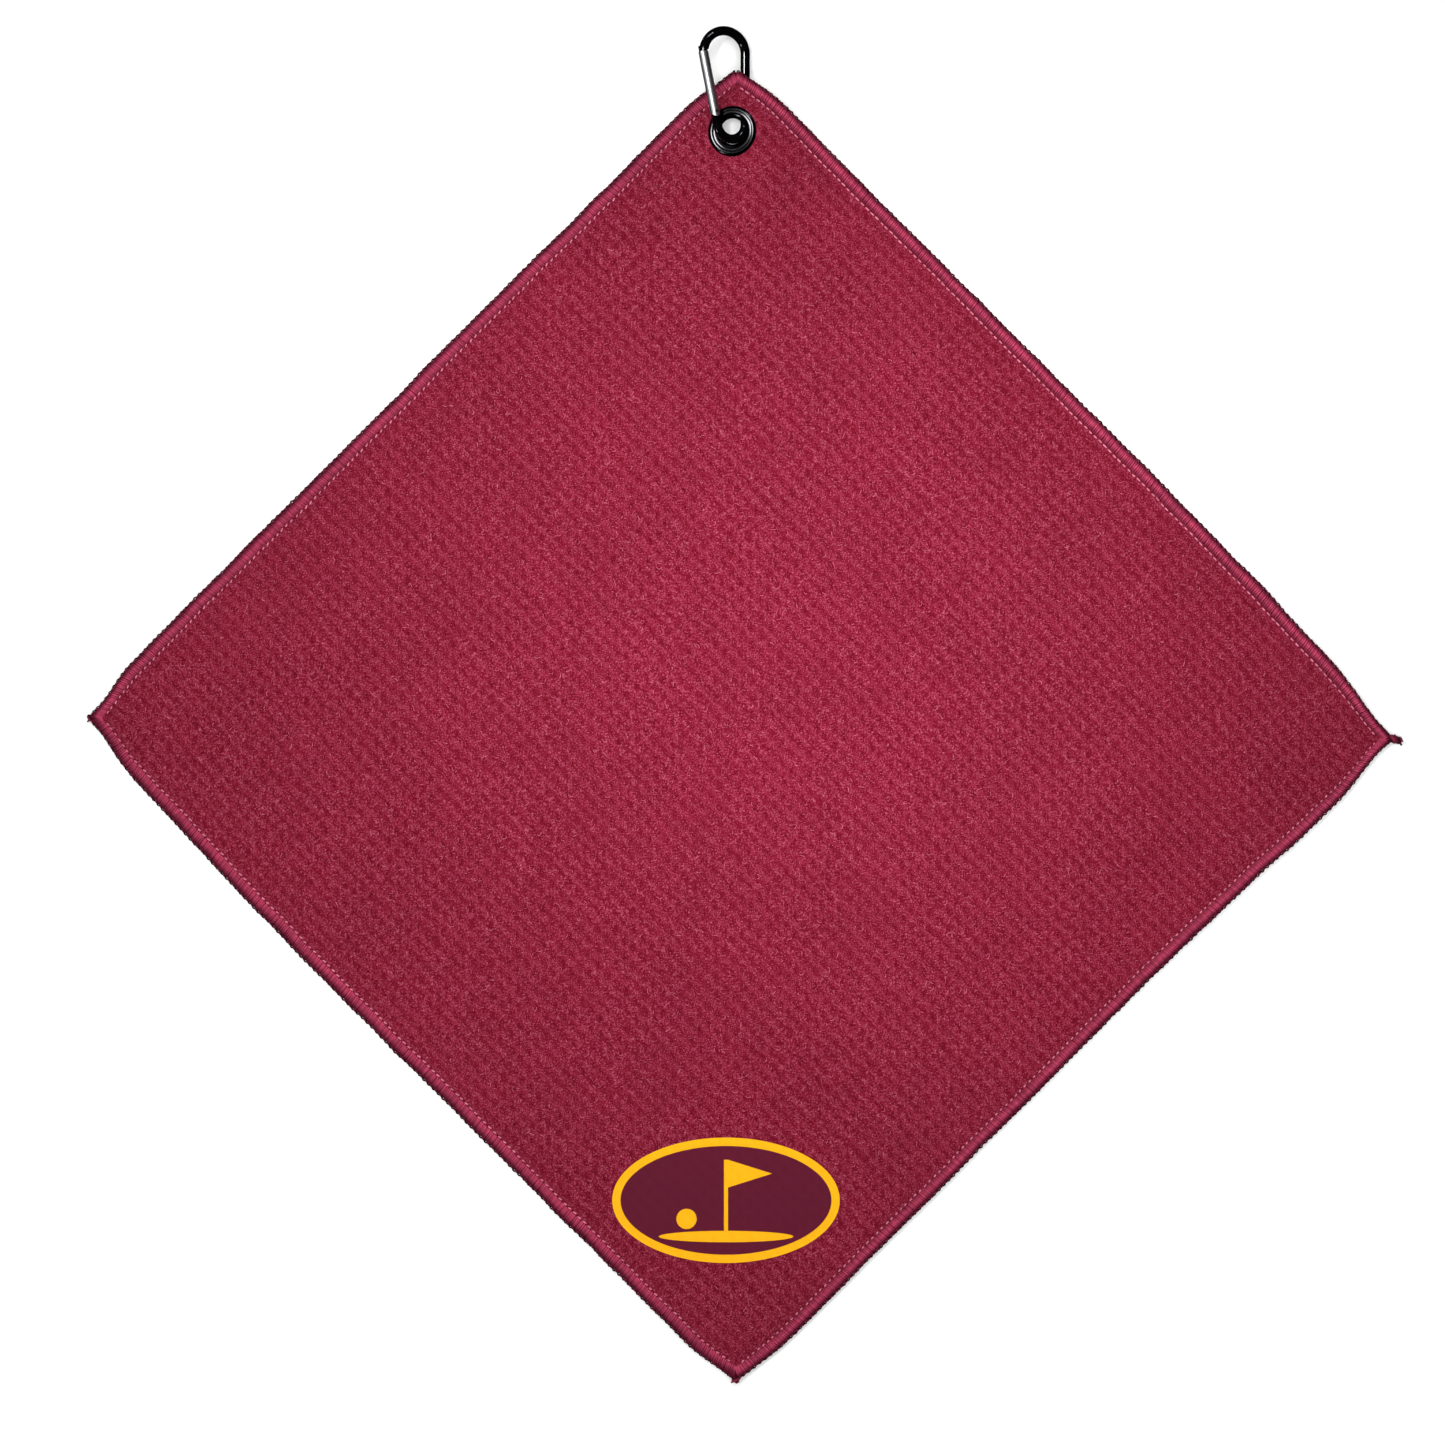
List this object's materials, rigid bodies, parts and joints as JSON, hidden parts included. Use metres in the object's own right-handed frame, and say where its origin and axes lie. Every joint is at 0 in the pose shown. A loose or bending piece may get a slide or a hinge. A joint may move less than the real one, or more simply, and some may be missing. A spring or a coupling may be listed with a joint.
{
  "type": "golf towel",
  "caption": "Square waffle-weave golf towel with an overlocked edge and a printed corner badge, hung from a spring-gate clip through a corner grommet.",
  "frame": {"origin": "middle of the cloth's underside, where the two corner-to-corner diagonals cross", "axes": "+Z out of the printed face, +Y along the diagonal to the corner that holds the grommet and clip, +X to the right-hand corner seen from above"},
  "size_m": [0.5709, 0.5841, 0.0114],
  "materials": {
    "waffle_cloth": "matt, burgundy waffle-weave microfibre",
    "edge_thread": "matt, burgundy overlock thread",
    "needle_thread": "soft sheen, light pink needle thread",
    "badge_gold": "satin heat-pressed film",
    "badge_dark": "satin heat-pressed film",
    "black_nickel": "polished black nickel",
    "black_enamel": "gloss black",
    "bright_steel": "polished",
    "rivet_steel": "satin",
    "inner_steel": "plain"
  },
  "bodies": {
    "towel": {"towel_panel": "waffle_cloth", "overlock_upper_right": "edge_thread", "needle_row_upper_right": "needle_thread", "overlock_upper_left": "edge_thread", "needle_row_upper_left": "needle_thread", "overlock_lower_left": "edge_thread", "needle_row_lower_left": "needle_thread", "overlock_lower_right": "edge_thread", "needle_row_lower_right": "needle_thread", "thread_tail_right": "edge_thread", "thread_tail_bottom": "edge_thread", "thread_tail_left": "edge_thread", "badge_backing": "badge_gold", "badge_field": "badge_dark", "grommet_front": "black_nickel", "grommet_washer": "black_nickel"},
    "carabiner": {"carabiner_body": "black_enamel"},
    "gate": {"gate": "bright_steel", "hinge_rivet": "rivet_steel", "latch_pin": "rivet_steel", "gate_spring": "inner_steel", "spring_plunger": "inner_steel"}
  },
  "joints": [
    {"name": "carabiner_roll", "type": "hinge", "parent": "towel", "child": "carabiner", "pos_m": [-0.00197, 0.25847, 0.0044], "axis": [-0.097, 0.9945, 0.0392], "range_deg": [0, 95]},
    {"name": "gate_hinge", "type": "hinge", "parent": "carabiner", "child": "gate", "pos_m": [-0.00907, 0.26369, 0.00726], "axis": [-0.3746, 0, -0.9272], "range_deg": [0, 22], "stiffness_Nm_per_rad": 0.03, "springref_deg": -11.46}
  ]
}
